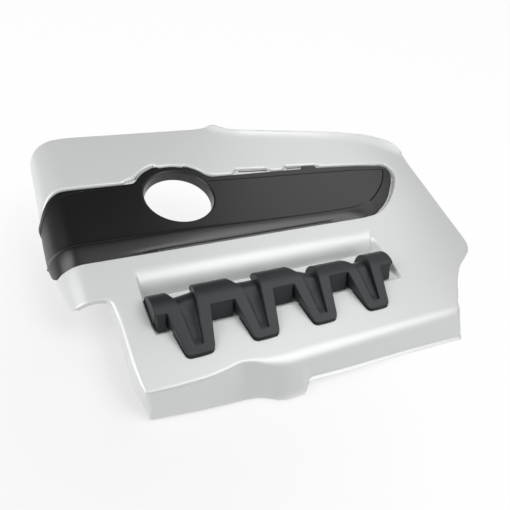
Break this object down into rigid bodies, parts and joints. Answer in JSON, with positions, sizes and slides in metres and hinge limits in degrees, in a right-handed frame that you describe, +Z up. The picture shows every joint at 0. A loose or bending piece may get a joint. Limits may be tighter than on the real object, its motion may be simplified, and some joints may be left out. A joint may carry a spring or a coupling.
{
  "type": "engine cover",
  "caption": "Silver plastic engine cover with a black upper trim round the oil filler opening, a black intake-runner insert and rubber stud sockets beneath.",
  "frame": {"origin": "under the middle of the cover's box, on the surface that it stands on", "axes": "+X along the row of runners to the right, +Y to the back, +Z up"},
  "size_m": [0.6124, 0.4352, 0.0973],
  "materials": {
    "silver_paint": "satin silver paint",
    "black_trim": "satin",
    "black_insert": "fine-grained satin",
    "grey_plastic": "unpainted moulded",
    "rubber": "matt",
    "steel": "zinc plated",
    "foam": "open-cell foam"
  },
  "bodies": {
    "root": {"absorber_pad_centre": "foam", "absorber_pad_front": "foam", "absorber_pad_rear": "foam", "cover_shell": "silver_paint", "insert_push_nut_1": "steel", "insert_push_nut_2": "steel", "insert_push_nut_3": "steel", "insert_push_nut_4": "steel", "runner_insert": "black_insert", "stud_post_front_left": "grey_plastic", "stud_post_front_right": "grey_plastic", "stud_post_rear_left": "grey_plastic", "stud_post_rear_right": "grey_plastic", "stud_socket_front_left": "rubber", "stud_socket_front_right": "rubber", "stud_socket_rear_left": "rubber", "stud_socket_rear_right": "rubber", "trim_push_nut_1": "steel", "trim_push_nut_2": "steel", "trim_push_nut_3": "steel", "trim_push_nut_4": "steel", "trim_push_nut_5": "steel", "trim_push_nut_6": "steel", "upper_trim": "black_trim"}
  },
  "joints": []
}
